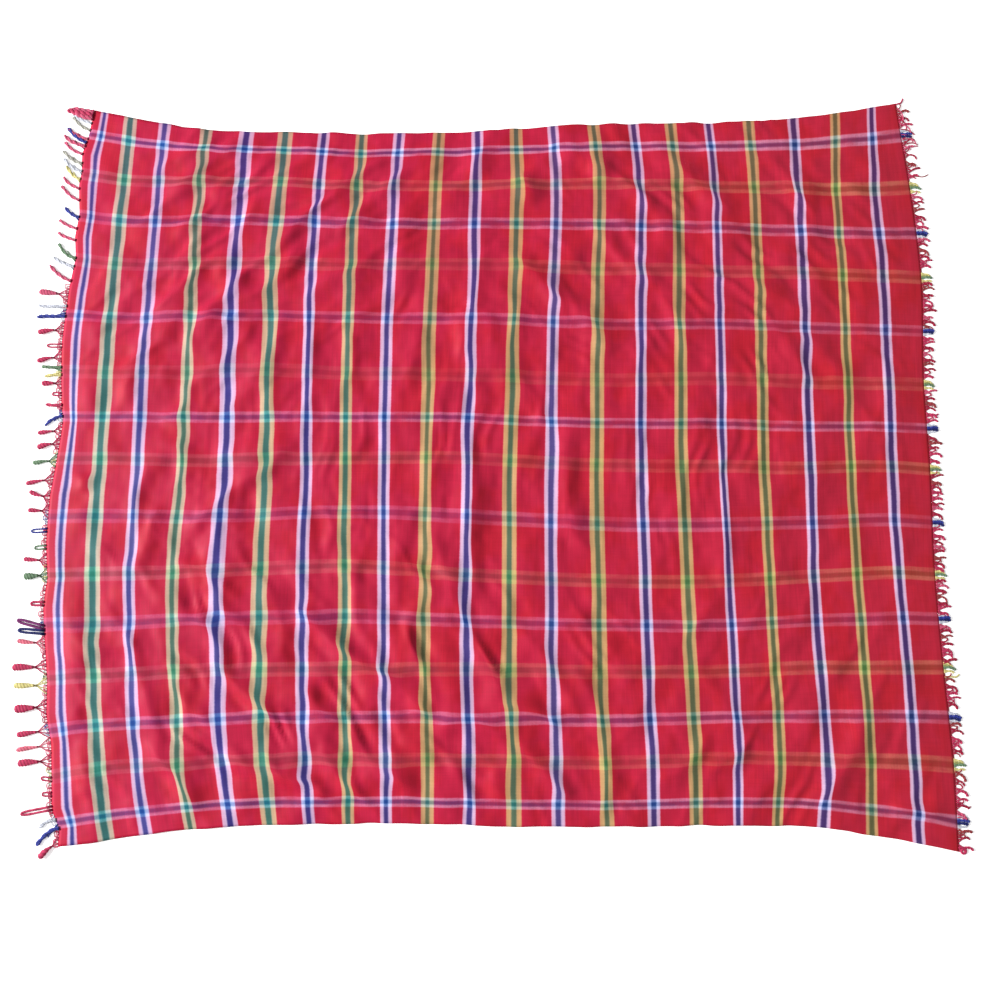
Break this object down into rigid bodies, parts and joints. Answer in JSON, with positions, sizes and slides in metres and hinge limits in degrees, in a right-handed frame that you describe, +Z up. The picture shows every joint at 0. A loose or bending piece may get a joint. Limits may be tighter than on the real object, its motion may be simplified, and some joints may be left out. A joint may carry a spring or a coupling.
{
  "type": "plaid blanket",
  "caption": "Thin woven plaid blanket spread flat with soft uneven folds, knotted fringe along its left and right edges.",
  "frame": {"origin": "centre of the bounding box at the floor", "axes": "+Z up from the floor, +X along the blanket from the left fringe to the right fringe, +Y from the front selvage to the back selvage"},
  "size_m": [1.8704, 1.5522, 0.0128],
  "materials": {
    "cloth": "matte red plain weave with white, blue, yellow and green stripes",
    "fringe_left": "matte twisted yarn in the stripe colours",
    "fringe_right": "matte twisted yarn in the stripe colours"
  },
  "bodies": {
    "root": {"cloth": "cloth", "fringe_left": "fringe_left", "fringe_right": "fringe_right"}
  },
  "joints": []
}
